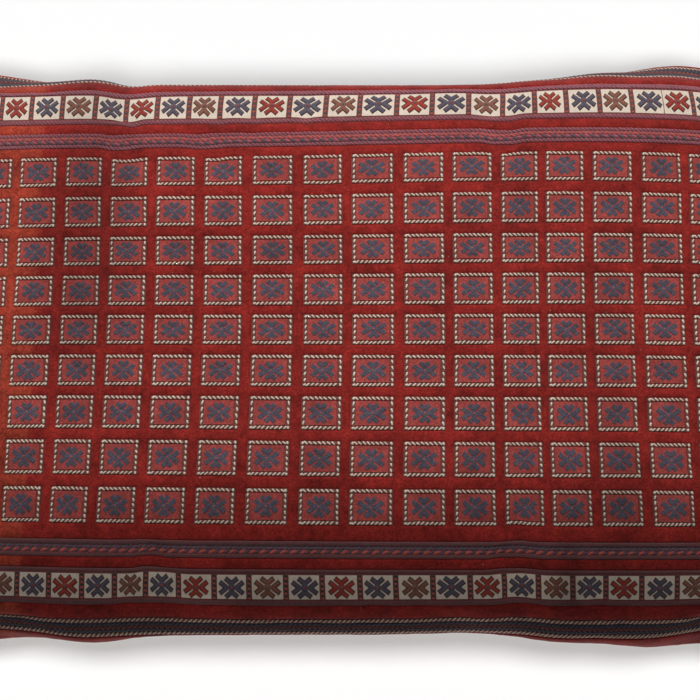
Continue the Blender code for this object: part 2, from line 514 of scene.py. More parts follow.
def new_mesh(name, points, faces, flat, material, crease=None):
    """A mesh object from points and lists of faces, with the flat layout as its map.

    It is smooth but for edges that turn by more than the crease, in degrees.
    """
    mesh = bpy.data.meshes.new(name)
    loops = np.concatenate([f.ravel() for f in faces])
    sizes = np.concatenate([np.full(len(f), f.shape[1]) for f in faces])
    starts = np.concatenate([[0], np.cumsum(sizes)[:-1]])
    mesh.vertices.add(len(points))
    mesh.vertices.foreach_set("co", points.ravel())
    mesh.loops.add(len(loops))
    mesh.loops.foreach_set("vertex_index", loops.astype(np.int32))
    mesh.polygons.add(len(sizes))
    mesh.polygons.foreach_set("loop_start", starts.astype(np.int32))
    mesh.polygons.foreach_set("loop_total", sizes.astype(np.int32))
    mesh.polygons.foreach_set("use_smooth", np.ones(len(sizes), dtype=bool))
    mesh.update(calc_edges=True)
    mesh.validate()
    uv = mesh.uv_layers.new(name="OFBake")
    places = flat[loops][:, :2] / MAP_SIDE + 0.5
    uv.data.foreach_set("uv", places.ravel())
    if crease is not None:
        mesh.set_sharp_from_angle(angle=math.radians(crease))
    mesh.materials.append(material)
    piece = bpy.data.objects.new(name, mesh)
    bpy.context.scene.collection.objects.link(piece)
    return piece


def build_piece(name, layout, carry, material, crease=None):
    flat = np.concatenate(layout.points)
    return new_mesh(name, carry(flat), layout.faces, flat, material, crease)


# One stitch seen from above: six corners of its foot, then four of its rounded top
GRAIN_FORM = np.array([[-1, 0], [-0.66, -1], [0.66, -1], [1, 0], [0.66, 1], [-0.66, 1],
                       [-0.6, -0.5], [0.6, -0.5], [0.6, 0.5], [-0.6, 0.5]])
GRAIN_FACES = [
    np.array([[6, 7, 8, 9], [1, 2, 7, 6], [4, 5, 9, 8]]),
    np.array([[0, 1, 6], [0, 6, 9], [0, 9, 5], [3, 7, 2], [3, 8, 7], [3, 4, 8]]),
    np.array([[5, 4, 3, 2, 1, 0]]),
]


def add_grains(layout, places, turn, length, width, foot, height):
    """Raised stitches, each a long dome: places is (n, 2) and the rest are numbers or n numbers."""
    n = len(places)
    sizes = (turn, length, width, foot, height)
    turn, length, width, foot, height = (np.broadcast_to(v, (n,)).astype(float) for v in sizes)
    along = GRAIN_FORM[None, :, 0] * length[:, None] / 2
    beside = GRAIN_FORM[None, :, 1] * width[:, None] / 2
    foot, height = foot[:, None], height[:, None]
    rise = np.concatenate([np.repeat(foot, 6, axis=1), np.repeat(height, 4, axis=1)], axis=1)
    cos, sin = np.cos(turn)[:, None], np.sin(turn)[:, None]
    s = places[:, :1] + along * cos - beside * sin
    t = places[:, 1:] + along * sin + beside * cos
    layout.add(np.stack([s, t, rise], axis=-1), GRAIN_FACES)


# Foot and bevel of the flat-woven slabs, and bevel of the flowers' arms, in millimetres
SLAB_FOOT = -0.6
SLAB_BEVEL = 0.4
ARM_BEVEL = 0.2


def facing_faces(top, low):
    """Faces of an upper and a lower grid of points that look away from each other."""
    upper = np.stack([top[:-1, :-1], top[1:, :-1], top[1:, 1:], top[:-1, 1:]], -1).reshape(-1, 4)
    lower = np.stack([low[:-1, :-1], low[:-1, 1:], low[1:, 1:], low[1:, :-1]], -1).reshape(-1, 4)
    return np.concatenate([upper, lower])


def slab_faces(columns, rows):
    """Faces of a closed slab whose top and bottom are grids of columns by rows cells."""
    top = np.arange((columns + 1) * (rows + 1)).reshape(columns + 1, rows + 1)
    low = top + top.size
    ring = np.concatenate([top[:-1, 0], top[-1, :-1], top[:0:-1, -1], top[0, :0:-1]])
    after = np.roll(ring, -1)
    sides = np.stack([after, ring, ring + top.size, after + top.size], -1)
    return [np.concatenate([facing_faces(top, low), sides])]


def add_slabs(layout, low_s, high_s, low_t, high_t, cells, height, foot=SLAB_FOOT):
    """Flat-woven panels or strips: each is a closed slab with bevelled sides."""
    low_s, high_s, low_t, high_t = (
        np.atleast_1d(np.asarray(v, dtype=float))[:, None, None] for v in (low_s, high_s, low_t, high_t)
    )
    u, v = np.meshgrid(np.linspace(0, 1, cells[0] + 1), np.linspace(0, 1, cells[1] + 1), indexing="ij")
    levels = []
    for rise, edge in ((height, SLAB_BEVEL), (foot, 0.0)):
        s = low_s + edge + (high_s - low_s - 2 * edge) * u
        t = low_t + edge + (high_t - low_t - 2 * edge) * v
        level = np.stack(np.broadcast_arrays(s, t, rise), axis=-1)
        levels.append(level.reshape(len(level), -1, 3))
    layout.add(np.concatenate(levels, axis=1), slab_faces(*cells))


PRISM_FACES = [
    np.array([[0, 1, 2, 3], [7, 6, 5, 4], [4, 5, 1, 0], [5, 6, 2, 1], [6, 7, 3, 2], [7, 4, 0, 3]]),
]


def add_prisms(layout, corners, foot, height):
    """Low four-sided forms with bevelled edges: corners is (n, 4, 2), anticlockwise."""
    middle = corners.mean(axis=1, keepdims=True)
    away = corners - middle
    reach = np.linalg.norm(away, axis=-1, keepdims=True)
    shrink = 1.0 - ARM_BEVEL / np.maximum(reach, 1.5 * ARM_BEVEL)
    levels = []
    for spots, rise in ((middle + away * shrink, height), (corners, foot)):
        levels.append(np.concatenate([spots, np.full(spots.shape[:2] + (1,), rise)], axis=-1))
    layout.add(np.concatenate(levels, axis=1), PRISM_FACES)


def wraps_between(start, end, pitch, band, lean, rng):
    """Slanting wraps side by side along a line: their places, turns, lengths and widths."""
    run = np.subtract(end, start)
    length = np.hypot(*run)
    n = max(2, round(length / pitch))
    part = (np.arange(n) + 0.5) / n
    places = np.asarray(start) + part[:, None] * run + rng.normal(0, 0.08, (n, 2))
    slope = math.sin(abs(lean))
    turn = math.atan2(run[1], run[0]) + lean + rng.normal(0, 0.05, n)
    long_way = band / slope * rng.normal(1, 0.04, n)
    wide_way = length / n * slope * rng.normal(1.02, 0.06, n)
    return places, turn, long_way, wide_way


class WrapRows:
    """Collects the wraps of every row in two or more colours, to build each colour as one piece."""

    def __init__(self):
        self.rows = {}

    def add(self, colours, wraps, height, foot=0.4):
        """Shares the wraps out among the colours in turn; a colour in pairs is (name, fullness)."""
        for k, colour in enumerate(colours):
            colour, fullness = colour if isinstance(colour, tuple) else (colour, 1.0)
            places, turn, length, width = (part[k :: len(colours)] for part in wraps)
            level = np.ones(len(places))
            row = [places, turn, length, width * fullness, foot * level, height * level]
            self.rows.setdefault(colour, []).append(row)

    def build(self, layout, colour):
        parts = [np.concatenate(column) for column in zip(*self.rows[colour])]
        add_grains(layout, *parts)


def squares():
    """Middle, width and height of each square of the field."""
    for s, wide in zip(COLUMN_PLACES, COLUMN_WIDTHS):
        for t, high in zip(ROW_PLACES, ROW_HEIGHTS):
            yield s, t, wide, high


# Places across the cloth, in millimetres: each border and band from its outer to its inner edge
BANDS = {
    "top_edge_wraps": (262.0, 258.0),
    "top_slate": (257.4, 239.0),
    "top_inner_wraps": (238.5, 234.5),
    "top_outer_row": (220.8, 213.2),
    "top_cells": (212.7, 185.7),
    "top_inner_row": (185.2, 180.7),
    "top_purple": (172.3, 158.6),
    "bottom_purple": (-166.0, -152.6),
    "bottom_inner_row": (-177.4, -174.0),
    "bottom_cells": (-198.3, -177.8),
    "bottom_outer_row": (-203.7, -198.8),
    "bottom_inner_wraps": (-220.6, -216.2),
    "bottom_slate": (-230.4, -221.0),
    "bottom_edge_wraps": (-237.6, -230.9),
}
# How far the rows run to either side along the cloth
ROW_REACH = 394.0
DIVIDER_WIDTH = 3.6
# The pile over the woven places, the width of its rounded edge, and the cloth's depth below them
PILE_HEIGHT = 1.1
SHOULDER = 1.2
SHEET_DEPTH = 3.2
WRAP_PITCH = 1.66
# Colours of the wraps in turn, each with how full its wraps are
BARBER = [("ivory", 1.3), ("dark", 0.9)]
EDGE_BARBER = [("ivory", 0.72), ("dark", 1.28)]
MAUVE_ROW = [("mauve", 1.15), ("heather", 0.85)]
DUSKY_ROW = [("russet", 1.0), ("heather", 1.0)]
# Lean of the wraps in a row, and their pitch along the pale edge rows
SLANT = math.radians(40)
STEEP_SLANT = math.radians(48)
BARBER_PITCH = 1.75
# Length of one wave of lumps in the purple bands, and the lean of a lump
WAVE_PERIOD = 7.5
WAVE_LEAN = math.radians(28)
# Step of the zigzag in the slate bands
ZIGZAG_STEP = 2.0
# The dark edge of each square outside and inside its pale line: left, right, below and above
RING_OUT = (2.1, 1.6, 1.75, 1.65)
RING_IN = (1.3, 2.1, 1.6, 1.6)
RING_BAND = 2.7
# Heights over the cloth of the flat-woven grounds, their backings and the wrapped rows
RING_BACKING_HEIGHT = 0.6
PANEL_HEIGHT = 0.8
CELL_HEIGHT = 0.85
CELL_BACKING_HEIGHT = 0.62
STRIP_HEIGHT = 0.5
ROW_HEIGHT = 1.15
# Pale beads up the sides of a square, and the short dark ones between them: length and width
BEAD_PERIOD = 4.4
BEAD_SIZE = (3.5, 1.7)
BEAD_GAP_SIZE = (1.7, 1.6)
BEAD_LEAN = math.radians(17)
CORNER_SIZE = (2.8, 2.1)
CORNER_TURNS = np.radians([20.0, 75.0, 115.0, 50.0])


def band_middle(name):
    return sum(BANDS[name]) / 2


def band_width(name):
    return abs(BANDS[name][0] - BANDS[name][1])


def band_span(*names):
    """Lowest and highest place of some bands together."""
    edges = [edge for name in names for edge in BANDS[name]]
    return min(edges), max(edges)


def add_beads(wraps, place, low, high, turn, rng):
    """Pale beads end to end up one side of a square, with short dark ones between them."""
    count = max(3, round((high - low) / BEAD_PERIOD))
    step = (high - low) / count
    for colour, size, shift, amount in (
        ("ivory", BEAD_SIZE, 0.5, count),
        ("russet", BEAD_GAP_SIZE, 0.0, count + 1),
    ):
        t = low + step * (np.arange(amount) + shift)
        spots = np.stack([np.full(amount, place), t], axis=-1) + rng.normal(0, 0.10, (amount, 2))
        turns = turn + rng.normal(0, 0.07, amount)
        lengths = size[0] * step / BEAD_PERIOD * rng.normal(1, 0.05, amount)
        wraps.add([colour], (spots, turns, lengths, size[1] * rng.normal(1, 0.07, amount)), 1.3, 0.5)


def add_square_rings(wraps, backing, panels, rng):
    for s, t, wide, high in squares():
        left, right = s - wide / 2, s + wide / 2
        low, up = t - high / 2, t + high / 2
        for level, lean in ((up, -SLANT), (low, SLANT)):
            ends = (left + 1.5, level), (right - 1.5, level)
            wraps.add(BARBER, wraps_between(*ends, WRAP_PITCH, RING_BAND, lean, rng), 1.3, 0.5)
        for place, lean in ((left, -BEAD_LEAN), (right, BEAD_LEAN)):
            add_beads(wraps, place, low + 1.4, up - 1.4, math.pi / 2 + lean, rng)
        corners = np.array([(left, low), (right, low), (right, up), (left, up)])
        turns = CORNER_TURNS + rng.normal(0, 0.15, 4)
        length, width = CORNER_SIZE
        wraps.add(["ivory"], (corners, turns, np.full(4, length), np.full(4, width)), 1.35, 0.5)
        outer = left - RING_OUT[0], right + RING_OUT[1], low - RING_OUT[2], up + RING_OUT[3]
        inner = left + RING_IN[0], right - RING_IN[1], low + RING_IN[2], up - RING_IN[3]
        for side, cells in (
            ((outer[0], outer[1], outer[2], inner[2]), (7, 1)),
            ((outer[0], outer[1], inner[3], outer[3]), (7, 1)),
            ((outer[0], inner[0], inner[2], inner[3]), (1, 5)),
            ((inner[1], outer[1], inner[2], inner[3]), (1, 5)),
        ):
            add_slabs(backing, *side, cells, RING_BACKING_HEIGHT)
        add_slabs(panels, *inner, (6, 5), PANEL_HEIGHT)


FLIPS = [np.array([s, t]) for s in (-1, 1) for t in (-1, 1)]


class Rosette:
    """A flower of eight arms, charted as seen flat, in millimetres from its middle.

    Each quarter has one steep and one flat arm side by side; both are given by their two ends.
    """

    def __init__(self, steep, flat, width, heart, stitches):
        self.arms = [np.array(steep, dtype=float), np.array(flat, dtype=float)]
        self.width = width
        self.heart = heart
        self.stitches = stitches

    def corners(self, grow=0.0):
        """Corners of the arms and of the filled heart, widened on all sides by grow."""
        quads = []
        for flip in FLIPS:
            for start, end in self.arms:
                run = (end - start) / np.linalg.norm(end - start)
                beside = np.array([-run[1], run[0]]) * (self.width / 2 + grow)
                end = end + run * grow
                bar = np.array([start - beside, end - beside, end + beside, start + beside]) * flip
                quads.append(bar if flip.prod() > 0 else bar[::-1])
        wide, high = self.heart
        quads.append(np.array([(-wide, 0), (0, -high), (wide, 0), (0, high)]))
        return np.array(quads)

    def stitch_ends(self):
        """Both ends of the stitches that lie side by side across the arms."""
        ends = []
        for flip in FLIPS:
            for start, end in self.arms:
                step = (end - start) / self.stitches
                beside = np.array([-step[1], step[0]]) / np.linalg.norm(step) * self.width / 2
                for k in range(self.stitches):
                    middle = start + step * (k + 0.5)
                    ends.append([(middle - beside) * flip, (middle + beside) * flip])
        return np.array(ends)

    def placed_stitches(self, middle, scale, rng):
        """Places, turns, lengths and widths of the stitches of one flower."""
        ends = self.stitch_ends() * scale + middle
        run = ends[:, 1] - ends[:, 0]
        n = len(run)
        places = ends.mean(axis=1) + rng.normal(0, 0.06, (n, 2))
        turns = np.arctan2(run[:, 1], run[:, 0]) + rng.normal(0, 0.05, n)
        lengths = np.linalg.norm(run, axis=1) * rng.normal(1.0, 0.03, n)
        start, end = self.arms[0]
        width = np.linalg.norm(end - start) / self.stitches * math.sqrt(scale[0] * scale[1])
        return places, turns, lengths, width * rng.normal(1.0, 0.05, n)


FIELD_ROSETTE = Rosette([(0.0, 3.1), (3.5, 6.4)], [(3.1, 0.0), (8.3, 3.9)], 3.6, (3.9, 3.0), 4)
BORDER_FLOWER = Rosette([(0.0, 3.1), (4.8, 6.8)], [(4.0, 0.0), (9.5, 4.1)], 2.95, (4.5, 3.9), 5)
# Half sizes of the flower in the border, outline and all, as charted
FLOWER_HALF = (11.1, 8.7)
OUTLINE_WIDTH = 0.5


def add_field_rosettes(layout, wraps, rng):
    for s, t, wide, high in squares():
        middle = np.array([s - 0.4, t]) + rng.normal(0, 0.25, 2)
        scale = np.array([wide / 26.4, high / 21.2]) * rng.normal(1.0, 0.025, 2)
        add_prisms(layout, FIELD_ROSETTE.corners() * scale + middle, 0.3, 1.15)
        add_grains(layout, *FIELD_ROSETTE.placed_stitches(middle, scale, rng), 0.7, 1.5)
        dot = (middle[None], np.zeros(1), np.full(1, 1.9), np.full(1, 1.4))
        wraps.add(["salmon"], dot, 1.6, 1.0)


def add_woven_row(wraps, name, colours, lean, pitch, rng):
    """One full-length row of slanting wraps that fills a band."""
    add_line_of_wraps(wraps, colours, band_middle(name), band_width(name) - 0.7, pitch, lean, rng)


def add_line_of_wraps(wraps, colours, t, width, pitch, lean, rng, height=ROW_HEIGHT, shift=0.0):
    """Slanting wraps from one end of the cloth to the other, at one place across it."""
    ends = (-ROW_REACH + shift, t), (ROW_REACH + shift, t)
    wraps.add(colours, wraps_between(*ends, pitch, width, lean, rng), height)


def add_strip(layout, low_t, high_t, height):
    """A full-length backing of woven rows."""
    reach = ROW_REACH + 1.5
    add_slabs(layout, -reach, reach, low_t, high_t, (170, 3), height)


def add_purple_band(wraps, name, colours, bright, between, lean, rng):
    """Two slanting rows, and between them bright and slate lumps that follow each other like waves."""
    outer, inner = BANDS[name]
    full = inner - outer
    flat_lean = math.copysign(WAVE_LEAN, lean)
    for part in (0.14, 0.87):
        add_line_of_wraps(wraps, colours, outer + part * full, 0.24 * abs(full), WRAP_PITCH, lean, rng)
    for lumps, part, width, height, shift in (
        ([(bright, 1.35), (between, 0.75)], 0.39, 2.9, 1.3, 0.0),
        ([("slate", 1.1), (between, 0.9)], 0.59, 2.3, 1.25, WAVE_PERIOD / 4),
    ):
        t = outer + part * full
        add_line_of_wraps(wraps, lumps, t, width, WAVE_PERIOD / 2, flat_lean, rng, height, shift)
    add_line_of_wraps(wraps, ["dusk"], outer + 0.73 * full, 0.8, 3.2, math.radians(12), rng, 1.1)


def add_slate_band(wraps, name, rng):
    """A slate strip with a russet zigzag along its middle."""
    middle = band_middle(name)
    high = band_width(name)
    for part, lean in ((0.33, SLANT), (-0.33, -SLANT)):
        add_line_of_wraps(wraps, ["slate", "dusk"], middle + part * high, 0.36 * high, 1.8, lean, rng)
    count = int(2 * ROW_REACH / ZIGZAG_STEP)
    s = -ROW_REACH + (np.arange(count) + 0.5) * ZIGZAG_STEP
    side = np.where(np.arange(count) % 2 == 0, 1.0, -1.0)
    places = np.stack([s, np.full(count, middle)], axis=-1) + rng.normal(0, 0.1, (count, 2))
    length = math.hypot(ZIGZAG_STEP, 0.4 * high)
    turns = side * math.atan2(0.4 * high, ZIGZAG_STEP)
    wraps.add(["russet"], (places, turns, np.full(count, 1.1 * length), np.full(count, 0.95)), 1.4)


def flower_cells(dividers):
    """Left and right end of each flower's ground; two flowers share the ground of a wide cell."""
    bounds = [-ROW_REACH] + dividers + [ROW_REACH]
    cells = []
    for a, b in zip(bounds[:-1], bounds[1:]):
        left, right = a + DIVIDER_WIDTH / 2, b - DIVIDER_WIDTH / 2
        if b - a > WIDEST_CELL:
            cells += [(left, (a + b) / 2), ((a + b) / 2, right)]
        else:
            cells.append((left, right))
    return cells


def add_flower(outlines, petals, wraps, middle, wide, high, colour, rng):
    """One flower of the border: its dark outline, its filled arms and their stitches."""
    scale = np.array([wide / (2 * FLOWER_HALF[0]), high / (2 * FLOWER_HALF[1])])
    add_prisms(outlines, BORDER_FLOWER.corners(OUTLINE_WIDTH) * scale + middle, 0.2, 1.1)
    add_prisms(petals[colour], BORDER_FLOWER.corners() * scale * 0.97 + middle, 0.3, 1.2)
    wraps.add([colour], BORDER_FLOWER.placed_stitches(middle, scale, rng), 1.45, 0.9)
    spot = "red" if colour == "slate" else "slate"
    grown = math.sqrt(scale[0] * scale[1])
    dot = (middle[None], np.zeros(1), np.full(1, 2.3 * grown), np.full(1, 2.0 * grown))
    wraps.add([spot], dot, 1.6, 1.1)


def add_flower_border(grounds, outlines, petals, wraps, border, rng):
    """One row of flowers on pale cells, with beaded dividers between them."""
    band, dividers, first_colour, beads, between, share = border
    low, high = band_span(band)
    for k, (left, right) in enumerate(flower_cells(dividers)):
        add_slabs(grounds, left, right, low + 0.3, high - 0.3, (6, 5), CELL_HEIGHT, -0.4)
        if right - left < NARROWEST_FLOWER_CELL:
            continue
        colour = COLOUR_CYCLE[(k + first_colour) % len(COLOUR_CYCLE)]
        middle = np.array([(left + right) / 2, (low + high) / 2]) + rng.normal(0, 0.25, 2)
        wide = 0.88 * (right - left) * rng.normal(1.0, 0.02)
        add_flower(outlines, petals, wraps, middle, wide, share * (high - low), colour, rng)
    pitch = (high - low) / beads
    for s in dividers:
        bead = wraps_between((s, low + 0.4), (s, high - 0.4), pitch, 2.0, math.radians(62), rng)
        wraps.add([("salmon", 1.0), (between, 1.1)], bead, 1.25)


# Bands that lie side by side without pile between them
WOVEN_STRIPS = [
    ("top_edge_wraps", "top_inner_wraps"),
    ("top_outer_row", "top_inner_row"),
    ("top_purple",),
    ("bottom_purple",),
    ("bottom_inner_row", "bottom_outer_row"),
    ("bottom_inner_wraps", "bottom_edge_wraps"),
]


def raised_lines(low, high, notches, widest):
    """Grid lines that are close at the edges of each sunken place and wider elsewhere."""
    lines = [low, high]
    for a, b in notches:
        for line in (a - SHOULDER, a - 0.4 * SHOULDER, a, b, b + 0.4 * SHOULDER, b + SHOULDER):
            if low + 1.0 < line < high - 1.0:
                lines.append(line)
    lines = sorted(lines)
    kept = [lines[0]]
    for line in lines[1:]:
        if line - kept[-1] > 0.2:
            kept.append(line)
    kept[-1] = high
    out = [kept[0]]
    for a, b in zip(kept[:-1], kept[1:]):
        parts = max(1, math.ceil((b - a) / widest))
        out += [a + (b - a) * (k + 1) / parts for k in range(parts)]
    return np.array(out)


def sunken(line, notches):
    """1 on a sunken place, falling to 0 over the rounded shoulder of the pile beside it."""
    out = np.zeros_like(line)
    for a, b in notches:
        away = np.maximum(np.maximum(a - line, line - b), 0.0) / SHOULDER
        out = np.maximum(out, np.clip(1.0 - away, 0.0, 1.0) ** 2)
    return out


def add_pile_ground(layout, rng):
    """The whole face as one closed cloth, its pile standing round the sunken flat-woven places."""
    left, right, below, above = RING_OUT
    columns = [(s - w / 2 - left, s + w / 2 + right) for s, w in zip(COLUMN_PLACES, COLUMN_WIDTHS)]
    rows = [(t - h / 2 - below, t + h / 2 + above) for t, h in zip(ROW_PLACES, ROW_HEIGHTS)]
    woven = [band_span(*names) for names in WOVEN_STRIPS]
    edge_s, edge_t = HALF_LONG / MM, HALF_WIDE / MM
    lines_s = raised_lines(-edge_s, edge_s, columns, 5.2)
    lines_t = raised_lines(-edge_t, edge_t, rows + woven, 4.6)
    in_square = sunken(lines_s, columns)[:, None] * sunken(lines_t, rows)[None]
    low = np.maximum(in_square, sunken(lines_t, woven)[None])
    uneven = blurred(rng.normal(0, 1.0, low.shape), 1)
    rise = PILE_HEIGHT * (1.0 - low) + 0.22 * uneven * (1.0 - low)
    s, t = np.meshgrid(lines_s, lines_t, indexing="ij")
    top = np.stack([s, t, rise], axis=-1).reshape(-1, 3)
    under = np.stack([s, t, np.full_like(s, -SHEET_DEPTH)], axis=-1).reshape(-1, 3)
    layout.add(np.concatenate([top, under])[None], slab_faces(len(lines_s) - 1, len(lines_t) - 1))


# Painted shade and painted light of soft folds in the cover, as darker or paler spots in the wool's
# colour, in millimetres on the cloth:
# along, across, reach along, reach across, share
PAINTED_FOLD_SHADING = [
    (-206, 90, 52, 190, -0.30),
    (25, 0, 60, 320, 0.07),
    (200, -90, 40, 190, -0.14),
    (-108, -207, 30, 22, 0.30),
    (97, -228, 34, 18, 0.30),
    (162, -187, 14, 55, -0.28),
]


class Nodes:
    """Short names for the nodes of one material."""

    def __init__(self, name, colour, roughness, sheen):
        self.material = bpy.data.materials.new(name)
        self.material.use_nodes = True
        self.tree = self.material.node_tree
        self.shader = self.tree.nodes["Principled BSDF"]
        self.shader.inputs["Base Color"].default_value = (*colour, 1.0)
        self.shader.inputs["Roughness"].default_value = roughness
        self.shader.inputs["Sheen Weight"].default_value = sheen
        self.shader.inputs["Sheen Roughness"].default_value = 0.45
        self.shader.inputs["Specular IOR Level"].default_value = 0.2

    def node(self, kind, **settings):
        made = self.tree.nodes.new(kind)
        for key, value in settings.items():
            setattr(made, key, value)
        return made

    def link(self, source, target):
        self.tree.links.new(source, target)

    def noise(self, scale, detail, coordinates, stretch=None, rough=0.5):
        noise = self.node("ShaderNodeTexNoise")
        noise.inputs["Scale"].default_value = scale
        noise.inputs["Detail"].default_value = detail
        noise.inputs["Roughness"].default_value = rough
        if stretch is not None:
            mapping = self.node("ShaderNodeMapping")
            mapping.inputs["Scale"].default_value = stretch
            self.link(coordinates, mapping.inputs["Vector"])
            coordinates = mapping.outputs["Vector"]
        self.link(coordinates, noise.inputs["Vector"])
        return noise.outputs["Fac"]

    def ramp(self, value, low, high):
        """Maps low..high of a value to 0..1, held at both ends."""
        ranged = self.node("ShaderNodeMapRange")
        ranged.inputs["From Min"].default_value = low
        ranged.inputs["From Max"].default_value = high
        self.link(value, ranged.inputs["Value"])
        return ranged.outputs["Result"]

    def mix(self, factor, first, second, blend="MIX"):
        mixed = self.node("ShaderNodeMix", data_type="RGBA", blend_type=blend)
        for place, value in ((0, factor), (6, first), (7, second)):
            socket = mixed.inputs[place]
            if isinstance(value, (int, float)):
                socket.default_value = value
            elif isinstance(value, tuple):
                socket.default_value = (*value, 1.0)
            else:
                self.link(value, socket)
        return mixed.outputs[2]

    def paint_fold_shading(self, flat, tone):
        """Paints the shade and light of soft folds into a tone, as darker or paler soft spots."""
        for s, t, reach_s, reach_t, share in PAINTED_FOLD_SHADING:
            mapping = self.node("ShaderNodeMapping", vector_type="TEXTURE")
            mapping.inputs["Location"].default_value = (s / MAP_SIDE + 0.5, t / MAP_SIDE + 0.5, 0.0)
            mapping.inputs["Scale"].default_value = (reach_s / MAP_SIDE, reach_t / MAP_SIDE, 1.0)
            self.link(flat, mapping.inputs["Vector"])
            spot = self.node("ShaderNodeTexGradient", gradient_type="SPHERICAL")
            self.link(mapping.outputs["Vector"], spot.inputs["Vector"])
            tone = self.mix(self.ramp(spot.outputs["Fac"], 0.0, 0.7), tone,
                            self.mix(1.0, tone, (1.0 + share,) * 3, "MULTIPLY"))
        return tone

    def bump(self, height, strength, distance):
        bump = self.node("ShaderNodeBump")
        bump.inputs["Strength"].default_value = strength
        bump.inputs["Distance"].default_value = distance
        self.link(height, bump.inputs["Height"])
        self.link(bump.outputs["Normal"], self.shader.inputs["Normal"])


def tinted(colour, factor):
    return tuple(min(1.0, channel * factor) for channel in colour)


def yarn(name, colour, contrast):
    """Spun wool: uneven dye from place to place, fine fibres, a soft sheen, and painted shade and
    painted light of soft folds.
    """
    nodes = Nodes(name, colour, 0.88, 0.2)
    space = nodes.node("ShaderNodeTexCoord").outputs["Object"]
    patches = nodes.ramp(nodes.noise(30.0, 6.0, space, rough=0.9), 0.3, 0.7)
    stitches = nodes.ramp(nodes.noise(800.0, 2.0, space), 0.35, 0.65)
    tone = nodes.mix(patches, tinted(colour, 1 - contrast), tinted(colour, 1 + contrast))
    tone = nodes.mix(nodes.ramp(stitches, 0.0, 1.7), tone, tinted(colour, 1 - 1.8 * contrast))
    # Painted shade and painted light of soft folds: darker and paler spots in the colour
    tone = nodes.paint_fold_shading(nodes.node("ShaderNodeUVMap", uv_map="OFBake").outputs["UV"], tone)
    nodes.link(tone, nodes.shader.inputs["Base Color"])
    nodes.bump(nodes.noise(1600.0, 3.0, space), 0.35, 0.0006)
    return nodes.material


# How much the wool's tone wanders, and the size of its widest patches in metres
PILE_CONTRAST = 0.82
PILE_PATCHES = 0.05


def pile(name, colour, warm, pale):
    """Short wool pile: patches and tufts of every size, warmer wool at one end, stray pale fibres, and
    painted shade and painted light of soft folds.
    """
    nodes = Nodes(name, colour, 0.92, 0.12)
    space = nodes.node("ShaderNodeTexCoord").outputs["Object"]
    flat = nodes.node("ShaderNodeUVMap", uv_map="OFBake").outputs["UV"]
    apart = nodes.node("ShaderNodeSeparateXYZ")
    nodes.link(flat, apart.inputs["Vector"])
    edge = WARM_EDGE / MAP_SIDE + 0.5
    at_end = nodes.ramp(apart.outputs["X"], edge + 0.002, edge - 0.003)
    tone = nodes.mix(nodes.ramp(at_end, 0.0, 1.3), colour, warm)
    ribs = nodes.ramp(nodes.noise(230.0, 2.0, flat, (1.0, 0.22, 1.0)), 0.3, 0.7)
    tone = nodes.mix(1.0, tone, nodes.mix(ribs, (0.90, 0.90, 0.90), (1.08, 1.08, 1.08)), "MULTIPLY")
    mottle = nodes.ramp(nodes.noise(1.0 / PILE_PATCHES, 7.0, space, rough=1.0), 0.3, 0.7)
    dim = tinted((0.96, 0.90, 0.90), 1.0 - PILE_CONTRAST)
    lit = tuple((1.0 + PILE_CONTRAST) * share for share in (1.0, 1.16, 1.14))
    tone = nodes.mix(1.0, tone, nodes.mix(mottle, dim, lit), "MULTIPLY")
    tufts = nodes.ramp(nodes.noise(800.0, 2.0, space), 0.35, 0.65)
    tone = nodes.mix(nodes.ramp(tufts, 0.0, 1.8), tone, tinted(colour, 0.3))
    specks = nodes.ramp(nodes.noise(620.0, 1.0, space), 0.80, 0.86)
    tone = nodes.mix(specks, tone, pale)
    # Painted shade and painted light of soft folds: darker and paler spots in the colour
    tone = nodes.paint_fold_shading(flat, tone)
    nodes.link(tone, nodes.shader.inputs["Base Color"])
    nodes.bump(nodes.noise(900.0, 4.0, space), 0.4, 0.0010)
    return nodes.material


def plain_weave(name, colour):
    """Plain cotton back: fine threads both ways and a faint slub."""
    nodes = Nodes(name, colour, 0.9, 0.1)
    space = nodes.node("ShaderNodeTexCoord").outputs["Object"]
    flat = nodes.node("ShaderNodeUVMap", uv_map="OFBake").outputs["UV"]
    threads = []
    for direction in ("X", "Y"):
        wave = nodes.node("ShaderNodeTexWave", wave_type="BANDS", bands_direction=direction)
        wave.inputs["Scale"].default_value = 150.0
        wave.inputs["Distortion"].default_value = 0.6
        nodes.link(flat, wave.inputs["Vector"])
        threads.append(wave.outputs["Fac"])
    weave = nodes.mix(0.5, threads[0], threads[1])
    slub = nodes.ramp(nodes.noise(90.0, 3.0, flat, (1.0, 8.0, 1.0)), 0.3, 0.7)
    tone = nodes.mix(slub, tinted(colour, 0.88), tinted(colour, 1.1))
    tone = nodes.mix(nodes.ramp(nodes.noise(16.0, 2.0, space), 0.2, 1.4), tone, tinted(colour, 0.8))
    nodes.link(tone, nodes.shader.inputs["Base Color"])
    nodes.bump(weave, 0.5, 0.0004)
    return nodes.material


# Soft key from beyond the far long side, cut off before the near one, and the light on the floor
KEY_PLACE = (-0.1, 1.1, 2.0)
KEY_POWER = 159.0
KEY_RADIUS = 0.07
KEY_CONE = math.radians(160.0)
KEY_TURN = math.radians(45.75)
KEY_BLEND = 0.03
ROOM_LIGHT = 0.075
FLOOR_REACH = 40.0
FLOOR_GREY = 0.92
# Lights of the floor: power, softness, and turn away from straight down towards +Y
FLOOR_LIGHTS = [
    (1.84, math.radians(18.0), math.radians(-15.0)),
    (1.57, math.radians(17.0), math.radians(29.0)),
]


